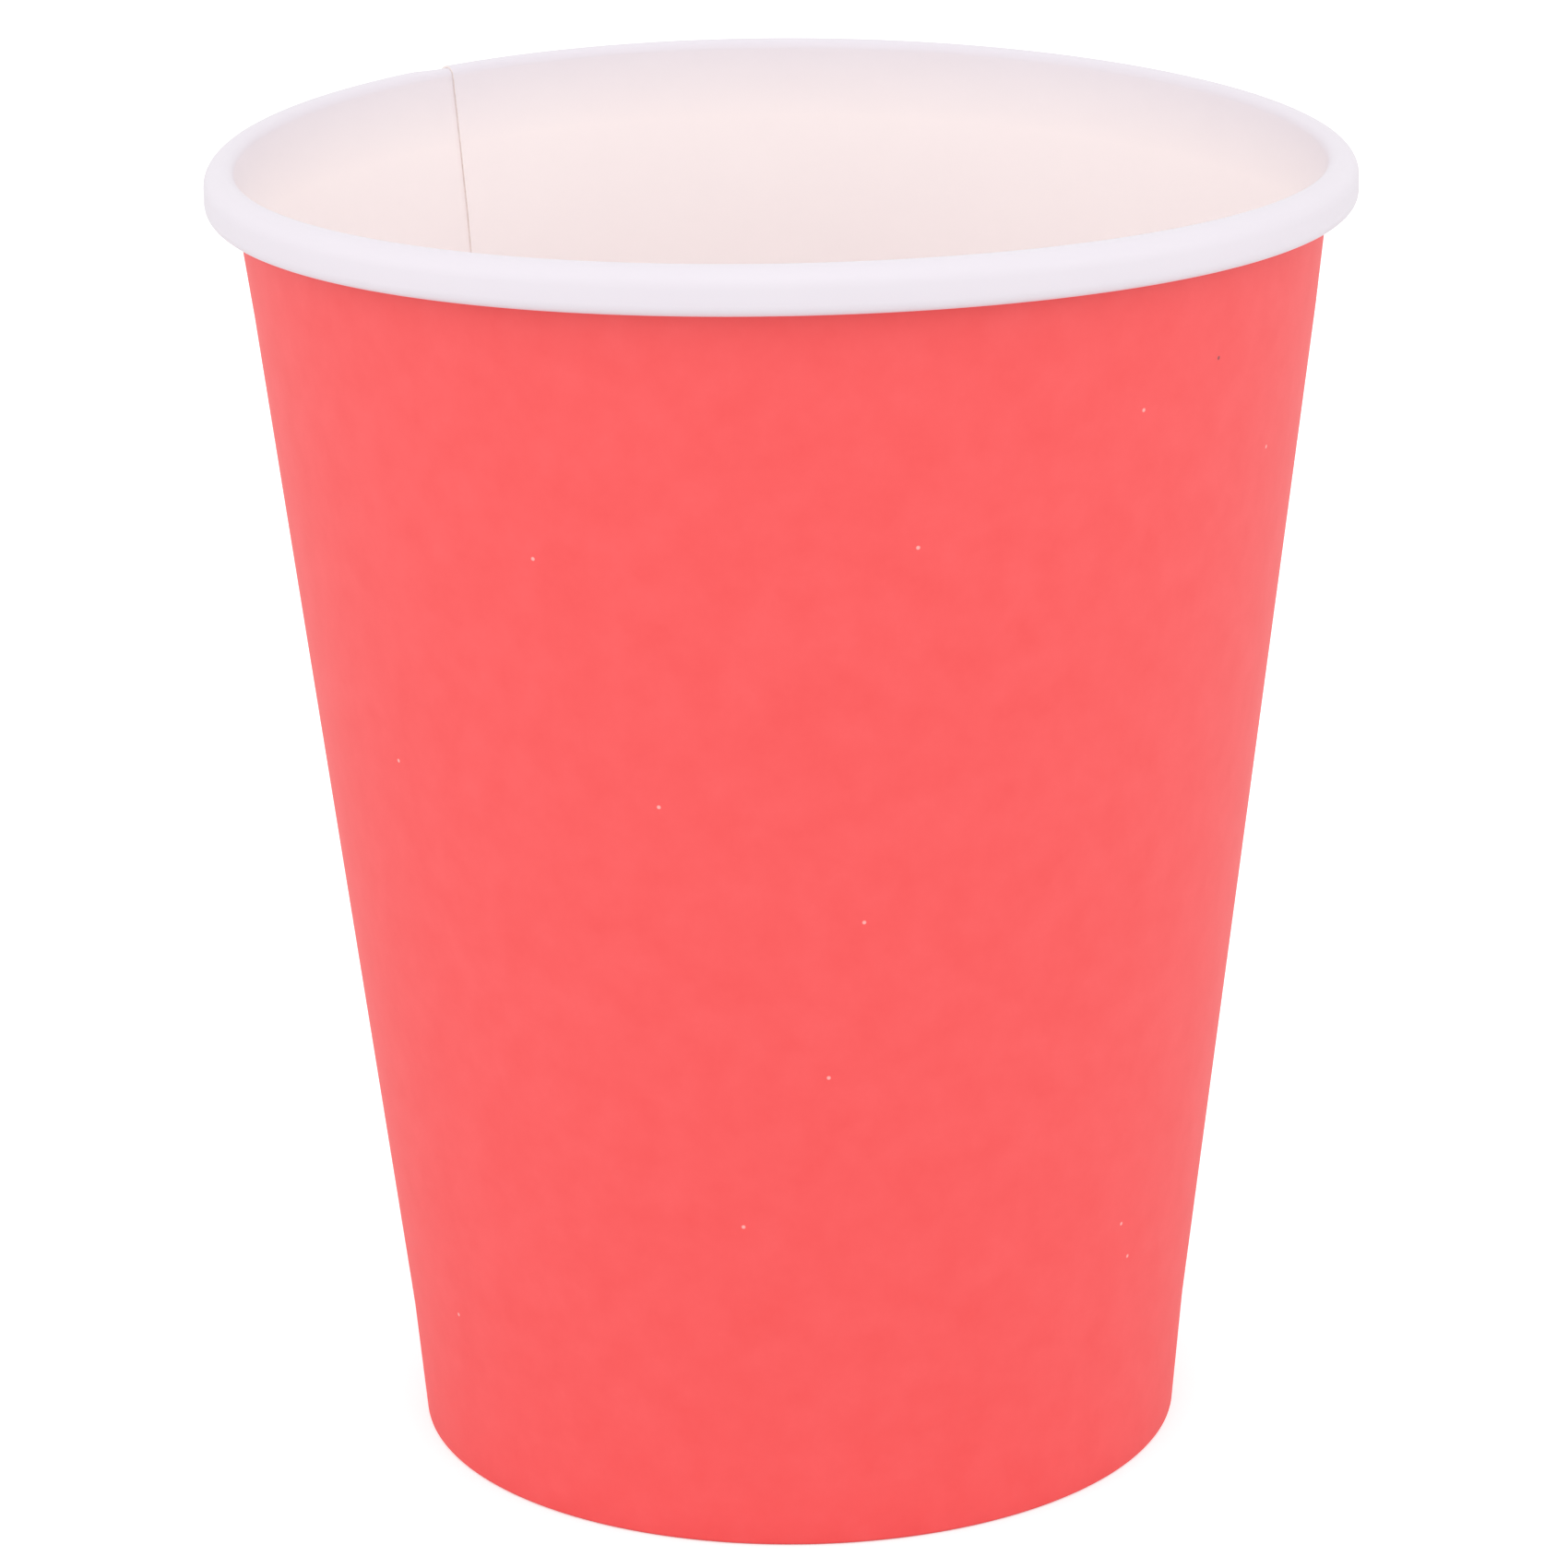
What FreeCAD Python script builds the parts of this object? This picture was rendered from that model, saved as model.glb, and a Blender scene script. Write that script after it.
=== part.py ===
import FreeCAD, Part
import math
import os
import Sketcher

# A paper cup for a hot drink, in millimetres: a flat-bottomed cone of board, open at the top.
# It is made of two pieces. The sidewall is one blank, wrapped and lapped at a side seam, rolled
# outward at the top and hemmed inward at the foot. The bottom disc is a second blank, whose
# skirt is caught between the wall and the hem.
# The origin is the centre of the foot, on the surface that the cup stands on.

SIZES = {
    "cup_height": 93.8,          # floor to the top of the rim
    "rim_radius": 40.0,          # outside of the rolled rim
    "knee_height": 8.6,          # where the wall bends in to the foot band
    "knee_radius": 28.11,        # printed face of the wall at the knee
    "foot_radius": 27.4,         # printed face of the foot band, carried down to the floor
    "board": 0.3,                # thickness of the sidewall board
    "disc_board": 0.3,           # thickness of the bottom disc's board
    "film": 0.03,                # sealing film between the disc's skirt and the board on each side
    "crown_radius": 1.42,        # outer shoulder of the rolled rim
    "curl_bend": 0.2,            # tightest inside bend of the rolled rim, in the lap
    "curl_drop": 2.42,           # rim top down to the middle of the roll's lower bend
    "tuck_gap": 0.08,            # free room between the tucked edge and the lapped wall
    "tuck_length": 1.0,          # straight run of the tucked edge, inside the roll
    "hem_height": 6.9,           # top edge of the hem above the floor
    "disc_height": 8.0,          # top face of the bottom disc above the floor
    "disc_bend": 0.3,            # inside bend from the disc to its skirt
    "skirt_foot": 1.0,           # lower edge of the skirt above the floor
    "lap_width": 6.5,            # overlap of the side seam
    "lap_relief": 0.25,          # room between the seam's inner edge and the start of the ramp
    "ramp_width": 2.0,           # length over which the board steps out over the seam's edge
    "seam_azimuth": 124.6,       # direction of the middle of the side seam, from +X
    "cut_margin": 2.0,           # how far the seam's trimming reaches past the rim
}

board = SIZES["board"]
origin_point = FreeCAD.Vector(0, 0, 0)
upward = FreeCAD.Vector(0, 0, 1)

doc = FreeCAD.newDocument("paper_cup")
sheet = doc.addObject("Spreadsheet::Sheet", "Sizes")
for row, (alias, value) in enumerate(SIZES.items(), start=1):
    sheet.set("A%d" % row, alias)
    sheet.set("B%d" % row, str(value))
    sheet.setAlias("B%d" % row, alias)
doc.recompute()


def sized(text):
    """Formula with each alias pointed at the sheet of sizes."""
    words = text.split(" ")
    return " ".join("Sizes." + word if word in SIZES else word for word in words)


# Angles of the side seam, seen from its middle. The ramp starts past the seam's inner edge
# at every height, so its angle is worked out where the hem is narrowest.
hem_inside = "( foot_radius - 4 * board - disc_board - 2 * film )"
ramp_foot_turn = "asin( ( lap_width / 2 + lap_relief ) / %s )" % hem_inside
ramp_head_turn = "asin( ( lap_width / 2 + lap_relief + ramp_width ) / %s )" % hem_inside
outer_edge_turn = "asin( lap_width / ( knee_radius + rim_radius ) )"


def origin_feature(body, role):
    """Plane or axis of a body's own origin."""
    return next(item for item in body.Origin.OriginFeatures if item.Role == role)


def new_sketch(body, name, plane, turn=None):
    """Sketch on a plane of the body's origin, turned about the cup's axis where turn is given."""
    sketch = body.newObject("Sketcher::SketchObject", name)
    sketch.AttachmentSupport = [(origin_feature(body, plane), "")]
    sketch.MapMode = "FlatFace"
    if turn:
        about_height = FreeCAD.Rotation(FreeCAD.Vector(0, 1, 0), 1)
        sketch.AttachmentOffset = FreeCAD.Placement(origin_point, about_height)
        sketch.setExpression("AttachmentOffset.Rotation.Angle", sized(turn))
    return sketch


def add_line(sketch, start, end):
    """Straight edge from start to end, returned as its number in the sketch."""
    return sketch.addGeometry(Part.LineSegment(FreeCAD.Vector(*start, 0), FreeCAD.Vector(*end, 0)), False)


def tie(sketch, kind, *items):
    """Geometric constraint of the given kind."""
    sketch.addConstraint(Sketcher.Constraint(kind, *items))


def add_bend(sketch, centre, radius, first, last, flats):
    """Bend from angle first to angle last, in radians, counter-clockwise, as equal flats on an arc.

    The arc stays in the sketch as the guide that the other edges are tangent to, and its number
    is returned. The flats are chords of it, so their corners lie on the true bend.
    """
    circle = Part.Circle(FreeCAD.Vector(*centre, 0), upward, radius)
    guide = sketch.addGeometry(Part.ArcOfCircle(circle, first, last), True)
    turns = [first + (last - first) * step / flats for step in range(flats + 1)]
    corners = [shifted(centre, (math.cos(turn), math.sin(turn)), radius) for turn in turns]
    chords = [add_line(sketch, start, end) for start, end in zip(corners, corners[1:])]
    tie(sketch, "Coincident", chords[0], START, guide, START)
    tie(sketch, "Coincident", chords[-1], END, guide, END)
    for chord, following in zip(chords, chords[1:]):
        tie(sketch, "Coincident", chord, END, following, START)
        tie(sketch, "PointOnObject", following, START, guide)
        tie(sketch, "Equal", chord, following)
    return guide


def size(sketch, kind, items, start, formula):
    """Dimension that starts at a near value and is then driven by a formula of the sheet."""
    number = sketch.addConstraint(Sketcher.Constraint(kind, *items, start))
    sketch.setExpression("Constraints[%d]" % number, sized(formula))


START, END, CENTRE = 1, 2, 3
ROOT = FLOOR_LINE = -1
AXIS_LINE = -2

# Flats in each bend of the board. The bends are a millimetre across at most, so a few are enough.
ROLL_FLATS = 2
CROWN_FLATS = 3
TURN_FLATS = 5
FOLD_FLATS = 1
DISC_FLATS = 1


class WallLines:
    """Directions and key points of the sidewall's section, in the plane of radius and height.

    A line's normal points to the printed side of the board, and its run points upward.
    """

    def __init__(self):
        s = SIZES
        self.roll = s["curl_bend"] + 2 * board
        self.crown = (s["rim_radius"] - s["crown_radius"], s["cup_height"])
        self.knee = (s["knee_radius"], s["knee_height"])
        across = self.crown[0] - self.knee[0]
        rise = self.crown[1] - self.roll - self.knee[1]
        printed_roll = self.roll - board
        self.wall_lean = math.atan2(across, rise) - math.asin(printed_roll / math.hypot(across, rise))
        self.foot_lean = math.atan2(s["knee_radius"] - s["foot_radius"], s["knee_height"])

    def wall_radius(self, height, depth):
        """Radius of the wall at a height, depth being the distance from the white face."""
        straight = self.knee[0] + (height - self.knee[1]) * math.tan(self.wall_lean)
        return straight + (depth - board) / math.cos(self.wall_lean)

    def foot_band_radius(self, height, depth):
        """The same for the foot band, below the knee."""
        straight = self.knee[0] + (height - self.knee[1]) * math.tan(self.foot_lean)
        return straight + (depth - board) / math.cos(self.foot_lean)


def shifted(point, along, distance):
    """Point moved by a distance along a direction."""
    return (point[0] + along[0] * distance, point[1] + along[1] * distance)


def normal_of(lean):
    """Direction from the white face to the printed face of a board that leans outward."""
    return (math.cos(lean), -math.sin(lean))


def run_of(lean):
    """Upward direction along a board that leans outward."""
    return (math.sin(lean), math.cos(lean))


def face_chain(sketch, lines, depth, layer):
    """One face of the board from the hem's top edge, round the foot and up, to the tucked edge.

    depth is the distance from the white face. The white face turns sharp corners at the hem's
    fold, and the printed face bends round them. The edges come back by name.
    """
    s = SIZES
    wall_normal = normal_of(lines.wall_lean)
    foot_normal = normal_of(lines.foot_lean)
    fold = depth - layer * board
    floor = board - fold
    corner_x = lines.foot_band_radius(board, layer * board)
    gap = (s["disc_board"] + 2 * s["film"] + 2 * layer * board) / foot_normal[0]
    right_fold = (corner_x, board)
    left_fold = (corner_x - gap, board)
    hem_foot = shifted(left_fold, foot_normal, -fold)
    hem_run = run_of(lines.foot_lean)
    hem_head = shifted(hem_foot, hem_run, (s["hem_height"] - hem_foot[1]) / hem_run[1])
    band_foot = shifted(right_fold, foot_normal, fold)

    bisector = (wall_normal[0] + foot_normal[0], wall_normal[1] + foot_normal[1])
    spread = 1 + wall_normal[0] * foot_normal[0] + wall_normal[1] * foot_normal[1]
    knee = shifted(lines.knee, bisector, (depth - board) / spread)

    roll_centre = (lines.crown[0], lines.crown[1] - lines.roll)
    roll = lines.roll - depth
    wall_head = shifted(roll_centre, wall_normal, -roll)
    crown_centre = (lines.crown[0], lines.crown[1] - s["crown_radius"])
    crown = s["crown_radius"] - depth
    shoulder = (s["rim_radius"] - depth, crown_centre[1])
    turn_height = s["cup_height"] - s["curl_drop"]
    room = (s["rim_radius"] - lines.wall_radius(turn_height, 0)) * wall_normal[0]
    turn_radius = (room - 2 * board - s["tuck_gap"]) / (1 + wall_normal[0])
    turn_centre = (s["rim_radius"] - turn_radius, turn_height)
    turn = turn_radius - depth
    skirt = (s["rim_radius"] - depth, turn_height)
    tuck_foot = shifted(turn_centre, wall_normal, -turn)
    tuck_head = shifted(tuck_foot, run_of(lines.wall_lean), s["tuck_length"])

    quarter = math.pi / 2
    wall_side = math.pi - lines.wall_lean
    edges = {
        "hem": add_line(sketch, hem_head, hem_foot),
        "base": add_line(sketch, (left_fold[0], floor), (right_fold[0], floor)),
        "band": add_line(sketch, band_foot, knee),
        "wall": add_line(sketch, knee, wall_head),
        "roll": add_bend(sketch, roll_centre, roll, quarter, wall_side, ROLL_FLATS),
        "crown": add_bend(sketch, crown_centre, crown, 0, quarter, CROWN_FLATS),
        "side": add_line(sketch, shoulder, skirt),
        "turn": add_bend(sketch, turn_centre, turn, wall_side, 2 * math.pi, TURN_FLATS),
        "tuck": add_line(sketch, tuck_foot, tuck_head),
    }
    if fold:
        hem_side = math.pi - lines.foot_lean
        edges["fold_in"] = add_bend(sketch, left_fold, fold, hem_side, 3 * quarter, FOLD_FLATS)
        edges["fold_out"] = add_bend(sketch, right_fold, fold, -quarter, -lines.foot_lean, FOLD_FLATS)
        tie(sketch, "Tangent", edges["hem"], END, edges["fold_in"], START)
        tie(sketch, "Tangent", edges["fold_in"], END, edges["base"], START)
        tie(sketch, "Tangent", edges["base"], END, edges["fold_out"], START)
        tie(sketch, "Tangent", edges["fold_out"], END, edges["band"], START)
        size(sketch, "DistanceY", (ROOT, START, edges["base"], START), floor, "0")
    else:
        tie(sketch, "Coincident", edges["hem"], END, edges["base"], START)
        tie(sketch, "Coincident", edges["base"], END, edges["band"], START)
        size(sketch, "DistanceY", (ROOT, START, edges["base"], START), floor, "board")
    tie(sketch, "Horizontal", edges["base"])
    tie(sketch, "Coincident", edges["band"], END, edges["wall"], START)
    tie(sketch, "Tangent", edges["wall"], END, edges["roll"], END)
    tie(sketch, "Tangent", edges["roll"], START, edges["crown"], END)
    tie(sketch, "Tangent", edges["crown"], START, edges["side"], START)
    tie(sketch, "Tangent", edges["side"], END, edges["turn"], END)
    tie(sketch, "Tangent", edges["turn"], START, edges["tuck"], START)
    tie(sketch, "Vertical", edges["side"])
    return edges


def board_section(body, name, layer, turn):
    """Closed section of the board. Layer 0 is the sheet, layer 1 the lap on its printed face."""
    lines = WallLines()
    sketch = new_sketch(body, name, "XZ_Plane", turn)
    near = face_chain(sketch, lines, layer * board, layer)
    far = face_chain(sketch, lines, (layer + 1) * board, layer)
    geometry = sketch.Geometry
    for edge, point, end in (("hem", START, "StartPoint"), ("tuck", END, "EndPoint")):
        start, finish = (getattr(geometry[face[edge]], end) for face in (near, far))
        cap = add_line(sketch, start[:2], finish[:2])
        tie(sketch, "Coincident", cap, START, near[edge], point)
        tie(sketch, "Coincident", cap, END, far[edge], point)
        tie(sketch, "Perpendicular", cap, near[edge])
        tie(sketch, "Parallel", near[edge], far[edge])

    # The two faces bend about the same centres.
    for bend in ("roll", "crown", "turn"):
        tie(sketch, "Coincident", near[bend], CENTRE, far[bend], CENTRE)
    tie(sketch, "Coincident", near["base"], START, far["fold_in"], CENTRE)
    tie(sketch, "Coincident", near["base"], END, far["fold_out"], CENTRE)

    # The rolled rim hangs from the cup's height and outer radius.
    depth = "%d * board" % layer
    next_depth = "%d * board" % (layer + 1)
    top = SIZES["cup_height"]
    side = SIZES["rim_radius"] - layer * board
    size(sketch, "DistanceY", (ROOT, START, near["roll"], START), top - layer * board,
         "cup_height - " + depth)
    size(sketch, "DistanceY", (ROOT, START, far["roll"], START), top - (layer + 1) * board,
         "cup_height - " + next_depth)
    size(sketch, "Radius", (near["roll"],), lines.roll - layer * board,
         "curl_bend + 2 * board - " + depth)
    size(sketch, "Radius", (near["crown"],), SIZES["crown_radius"] - layer * board,
         "crown_radius - " + depth)
    tie(sketch, "Vertical", near["roll"], CENTRE, near["crown"], CENTRE)
    size(sketch, "DistanceX", (ROOT, START, near["side"], START), side, "rim_radius - " + depth)
    size(sketch, "DistanceY", (ROOT, START, near["side"], END), top - SIZES["curl_drop"],
         "cup_height - curl_drop")
    tie(sketch, "Parallel", near["tuck"], near["wall"])
    size(sketch, "Distance", (near["tuck"], START, near["wall"]), 2 * board + SIZES["tuck_gap"],
         "2 * board + tuck_gap")
    size(sketch, "Distance", (near["tuck"],), SIZES["tuck_length"], "tuck_length")

    # The printed face of the sheet passes the knee and meets the floor at the foot radius.
    printed, other = (far, near) if layer == 0 else (near, far)
    knee = printed["wall"]
    size(sketch, "DistanceX", (ROOT, START, knee, START), SIZES["knee_radius"], "knee_radius")
    size(sketch, "DistanceY", (ROOT, START, knee, START), SIZES["knee_height"], "knee_height")
    size(sketch, "Distance", (other["wall"], START, printed["wall"]), board, "board")
    size(sketch, "Distance", (other["wall"], START, printed["band"]), board, "board")
    foot = sketch.addGeometry(Part.Point(FreeCAD.Vector(SIZES["foot_radius"], 0, 0)), True)
    size(sketch, "DistanceX", (ROOT, START, foot, START), SIZES["foot_radius"], "foot_radius")
    tie(sketch, "PointOnObject", foot, START, FLOOR_LINE)
    tie(sketch, "PointOnObject", foot, START, printed["band"])

    # The hem stands off the foot band by the skirt that it holds, and by the lap's two layers.
    tie(sketch, "Parallel", near["hem"], near["band"])
    size(sketch, "Distance", (near["hem"], END, near["band"]),
         SIZES["disc_board"] + 2 * SIZES["film"] + 2 * layer * board,
         "disc_board + 2 * film + 2 * " + depth)
    size(sketch, "DistanceY", (ROOT, START, near["hem"], START), SIZES["hem_height"], "hem_height")
    return sketch


def make_sidewall():
    """Sidewall: one blank of board, printed outside and white inside, lapped at the side seam."""
    body = doc.addObject("PartDesign::Body", "Sidewall")
    body.Label = "sidewall"
    sheet_section = board_section(body, "SheetSection", 0, ramp_head_turn)
    lap_section = board_section(body, "LapSection", 1, ramp_foot_turn)
    axis = (origin_feature(body, "Z_Axis"), [""])

    wrap = body.newObject("PartDesign::Revolution", "Wrap")
    wrap.Profile = sheet_section
    wrap.ReferenceAxis = axis
    wrap.setExpression("Angle", sized("360 deg - %s + %s" % (ramp_head_turn, ramp_foot_turn)))
    doc.recompute()

    # The seam's inner edge is cut straight, half the lap's width from the middle of the seam.
    trim_turn = "( %s + %s ) / 2" % (ramp_foot_turn, ramp_head_turn)
    trim = new_sketch(body, "SeamTrim", "XY_Plane")
    half_lap = SIZES["lap_width"] / 2
    reach = SIZES["rim_radius"] + SIZES["cut_margin"]
    slope = (half_lap + SIZES["lap_relief"] + SIZES["ramp_width"] / 2) / SIZES["foot_radius"]
    inner, outer = (half_lap / slope, half_lap), (reach, half_lap)
    corner = (reach, reach * slope)
    edge = add_line(trim, inner, outer)
    end = add_line(trim, outer, corner)
    back = add_line(trim, corner, inner)
    for first, second in ((edge, end), (end, back), (back, edge)):
        tie(trim, "Coincident", first, END, second, START)
    tie(trim, "Horizontal", edge)
    tie(trim, "Vertical", end)
    tie(trim, "PointOnObject", ROOT, START, back)
    size(trim, "DistanceY", (ROOT, START, edge, START), half_lap, "lap_width / 2")
    size(trim, "DistanceX", (ROOT, START, edge, END), reach, "rim_radius + cut_margin")
    size(trim, "DistanceY", (end, START, end, END), corner[1] - half_lap,
         "( rim_radius + cut_margin ) * tan( %s ) - lap_width / 2" % trim_turn)
    seam_edge = body.newObject("PartDesign::Pocket", "SeamEdge")
    seam_edge.Profile = trim
    seam_edge.Type = "Length"
    seam_edge.Reversed = True
    seam_edge.setExpression("Length", sized("cup_height"))
    doc.recompute()

    lap = body.newObject("PartDesign::Revolution", "Lap")
    lap.Profile = lap_section
    lap.ReferenceAxis = axis
    lap.Reversed = True
    lap.setExpression("Angle", sized("%s + %s" % (ramp_foot_turn, outer_edge_turn)))
    doc.recompute()

    ramp = body.newObject("PartDesign::AdditiveLoft", "Ramp")
    ramp.Profile = sheet_section
    ramp.Sections = [lap_section]
    ramp.Ruled = True
    body.Placement = FreeCAD.Placement(origin_point, FreeCAD.Rotation(upward, 1))
    body.setExpression("Placement.Rotation.Angle", sized("seam_azimuth"))
    doc.recompute()
    return body


def make_bottom_disc():
    """Bottom disc: a flat blank drawn to a tray, its skirt turned down inside the foot band."""
    body = doc.addObject("PartDesign::Body", "BottomDisc")
    body.Label = "bottom_disc"
    s = SIZES
    lines = WallLines()
    normal = normal_of(lines.foot_lean)
    outer_bend = s["disc_bend"] + s["disc_board"]
    bend_height = s["disc_height"] - outer_bend
    bend_x = lines.foot_band_radius(bend_height, -s["film"]) - outer_bend / normal[0]
    bend_centre = (bend_x, bend_height)
    underside = s["disc_height"] - s["disc_board"]
    outer_head = shifted(bend_centre, normal, outer_bend)
    outer_foot = (lines.foot_band_radius(s["skirt_foot"], -s["film"]), s["skirt_foot"])
    inner_foot = shifted(outer_foot, normal, -s["disc_board"])
    inner_head = shifted(bend_centre, normal, s["disc_bend"])

    sketch = new_sketch(body, "DiscSection", "XZ_Plane")
    top = add_line(sketch, (0, s["disc_height"]), (bend_x, s["disc_height"]))
    bend_out = add_bend(sketch, bend_centre, outer_bend, -lines.foot_lean, math.pi / 2, DISC_FLATS)
    skirt_out = add_line(sketch, outer_head, outer_foot)
    skirt_end = add_line(sketch, outer_foot, inner_foot)
    skirt_in = add_line(sketch, inner_foot, inner_head)
    bend_in = add_bend(sketch, bend_centre, s["disc_bend"], -lines.foot_lean, math.pi / 2, DISC_FLATS)
    under = add_line(sketch, (bend_x, underside), (0, underside))
    centre_line = add_line(sketch, (0, underside), (0, s["disc_height"]))
    foot = (s["foot_radius"], 0)
    band = sketch.addGeometry(
        Part.LineSegment(FreeCAD.Vector(*foot, 0), FreeCAD.Vector(*lines.knee, 0)), True)

    tie(sketch, "Tangent", top, END, bend_out, END)
    tie(sketch, "Tangent", bend_out, START, skirt_out, START)
    tie(sketch, "Coincident", skirt_out, END, skirt_end, START)
    tie(sketch, "Coincident", skirt_end, END, skirt_in, START)
    tie(sketch, "Tangent", skirt_in, END, bend_in, START)
    tie(sketch, "Tangent", bend_in, END, under, START)
    tie(sketch, "Coincident", under, END, centre_line, START)
    tie(sketch, "Coincident", centre_line, END, top, START)
    tie(sketch, "Coincident", bend_out, CENTRE, bend_in, CENTRE)
    tie(sketch, "Horizontal", top)
    tie(sketch, "Horizontal", under)
    tie(sketch, "Vertical", centre_line)
    tie(sketch, "PointOnObject", top, START, AXIS_LINE)
    tie(sketch, "Perpendicular", skirt_end, skirt_out)
    tie(sketch, "Parallel", skirt_in, skirt_out)
    size(sketch, "DistanceX", (ROOT, START, band, START), foot[0], "foot_radius")
    tie(sketch, "PointOnObject", band, START, FLOOR_LINE)
    size(sketch, "DistanceX", (ROOT, START, band, END), s["knee_radius"], "knee_radius")
    size(sketch, "DistanceY", (ROOT, START, band, END), s["knee_height"], "knee_height")
    tie(sketch, "Parallel", skirt_out, band)
    size(sketch, "Distance", (skirt_out, START, band), board + s["film"], "board + film")
    size(sketch, "DistanceY", (ROOT, START, top, START), s["disc_height"], "disc_height")
    size(sketch, "Distance", (skirt_end,), s["disc_board"], "disc_board")
    size(sketch, "Radius", (bend_in,), s["disc_bend"], "disc_bend")
    size(sketch, "DistanceY", (ROOT, START, skirt_out, END), s["skirt_foot"], "skirt_foot")

    drawn = body.newObject("PartDesign::Revolution", "Drawn")
    drawn.Profile = sketch
    drawn.ReferenceAxis = (origin_feature(body, "Z_Axis"), [""])
    drawn.Angle = 360
    doc.recompute()
    return body


def check(nodes):
    """Stop where a sketch, feature or piece failed to build."""
    for item in doc.Objects:
        if "Invalid" in item.State or "Error" in item.State:
            raise RuntimeError("%s did not build: %s" % (item.Name, item.getStatusString()))
    for body in nodes:
        if body.Shape.isNull() or not body.Shape.isValid() or len(body.Shape.Solids) != 1:
            raise RuntimeError("%s is not one sound solid" % body.Label)


nodes = [make_sidewall(), make_bottom_disc()]
check(nodes)
os.makedirs("parts", exist_ok=True)
for body in nodes:
    body.Shape.exportStep("parts/%s.step" % body.Label)
    print("%s %.2f cubic mm" % (body.Label, body.Shape.Volume))
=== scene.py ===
import bpy
import math
import numpy as np
from mathutils import Matrix, Vector


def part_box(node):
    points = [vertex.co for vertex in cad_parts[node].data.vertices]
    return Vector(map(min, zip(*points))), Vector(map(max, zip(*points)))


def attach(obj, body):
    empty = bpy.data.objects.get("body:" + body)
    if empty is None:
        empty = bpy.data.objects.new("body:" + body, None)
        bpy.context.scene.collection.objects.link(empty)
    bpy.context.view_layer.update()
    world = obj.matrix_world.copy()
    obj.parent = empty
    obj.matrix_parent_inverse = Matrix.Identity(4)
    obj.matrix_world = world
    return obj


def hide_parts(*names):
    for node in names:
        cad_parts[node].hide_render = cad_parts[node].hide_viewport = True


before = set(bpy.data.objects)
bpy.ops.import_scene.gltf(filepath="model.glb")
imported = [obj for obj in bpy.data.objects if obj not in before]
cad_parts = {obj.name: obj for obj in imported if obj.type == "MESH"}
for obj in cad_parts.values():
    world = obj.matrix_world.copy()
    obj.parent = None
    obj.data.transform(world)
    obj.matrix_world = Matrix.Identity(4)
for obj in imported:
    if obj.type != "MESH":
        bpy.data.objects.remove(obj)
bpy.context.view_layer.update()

# Sidewall. One blank of coated board, printed coral on one side and white on the other. It is
# wrapped into a cone, lapped and sealed along the side seam, rolled outward at the top, and
# folded inward and up at the foot, where the hem grips the skirt of the bottom disc.

MM = 0.001
BOARD = 0.3                 # thickness of the board, in millimetres as all sizes here
KNEE = (28.15, 8.6)         # radius and height where the printed face bends in to the foot band
FOOT_RADIUS = 27.4          # printed face of the foot band, carried down to the floor
CROWN_RADIUS = 1.37         # outer shoulder of the rolled rim
ROLL_RADIUS = 0.8           # inner shoulder of the rolled rim
TURN_DROP = 2.42            # rim top down to the middle of the roll's lower bend
TUCK_ROOM = 0.68            # white face of the wall to white face of the tucked edge
TUCK_LENGTH = 1.0
KNEE_BEND = 0.8             # half the length of the soft bend at the knee
FOLD_BEND = 0.05            # inside bend of the hem's fold
HEM_HEIGHT = 6.9
SKIRT_ROOM = 0.36           # gap between foot band and hem, filled by the disc's skirt
SEAM_AZIMUTH = 124.6        # direction of the middle of the side seam, in degrees from +X
HALF_LAP = 3.25             # each cut edge of the blank lies this far from the seam's middle
LAP_RELIEF = 0.25           # room between the inner cut edge and the start of the step
STEP_WIDTH = 3.5            # length over which the board steps out over the inner layer
LAYER_GAP = 0.01            # sealing film between the two layers
LAP_PRESS = 0.5             # share of the board lost in the rolled lap and at the inner cut edge
SKIVE_WIDTH = 1.5           # width over which the inner cut edge is thinned
LAP_FADE = 1.0              # the thinning and the fold's lift end this far beyond the step
LAP_STATIONS = (26, 372, 40)    # stations on the inner lap, round the cup and on the outer lap
RIM_TILT = 0.091            # the rim is a little out of level, and saddle-shaped
RIM_LEAN = 0.036
RIM_SADDLE = 0.334
RIM_TWIST = 0.139
WAVE_STATIONS = 721         # places round the rim where its highest point is looked for
WALL_SHIFT = 0.22           # the wall stands a little to the right of the roll
RIM_SHIFT = 0.06
SHIFT_LENGTH = 6.0          # height over which the one gives way to the other
HEM_POINTS = 13             # points of the section up the hem
PRESS_START = 6.0           # the rolled lap is thinned from this far below the rim's top
PRESS_POINTS = 6            # and fully so after this many points of the section
LIFT_LENGTH = 3.0           # height over which the lap's fold comes back from its lift
TURN_FADE = (30, 90)        # degrees from the seam between which the stations become even
FLUTE_COUNT = 60            # flutes pressed into the hem by the tool that closes it
FLUTE_DEPTH = 0.05
FLUTE_START = 0.8           # height at which the hem's flutes begin
FLUTE_TOP = 0.4             # room between the flutes and the hem's top edge
FLUTE_FADE = 0.8            # length over which the flutes fade at each end
PAINTED_GLOW_START = 0.3           # painted glow: the white face is painted warmer and brighter from this far below the rim's top
PAINTED_GLOW_LENGTH = 1.2          # and is fully painted after this length
SHARP_ANGLE = 40            # edges sharper than this, in degrees, stay hard
SAME_POINT = 1e-9           # points of the section closer than this are one
BOX_ROOM = 0.06             # the rim stays this far inside the construction's box

box_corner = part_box("sidewall")[1] / MM
rim_radius = box_corner.x - BOX_ROOM
rim_top = box_corner.z - BOX_ROOM


def smooth(share):
    """Smooth step from 0 to 1: three squares less two cubes of the share, held between 0 and 1."""
    share = np.clip(share, 0, 1)
    return share * share * (3 - 2 * share)


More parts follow.
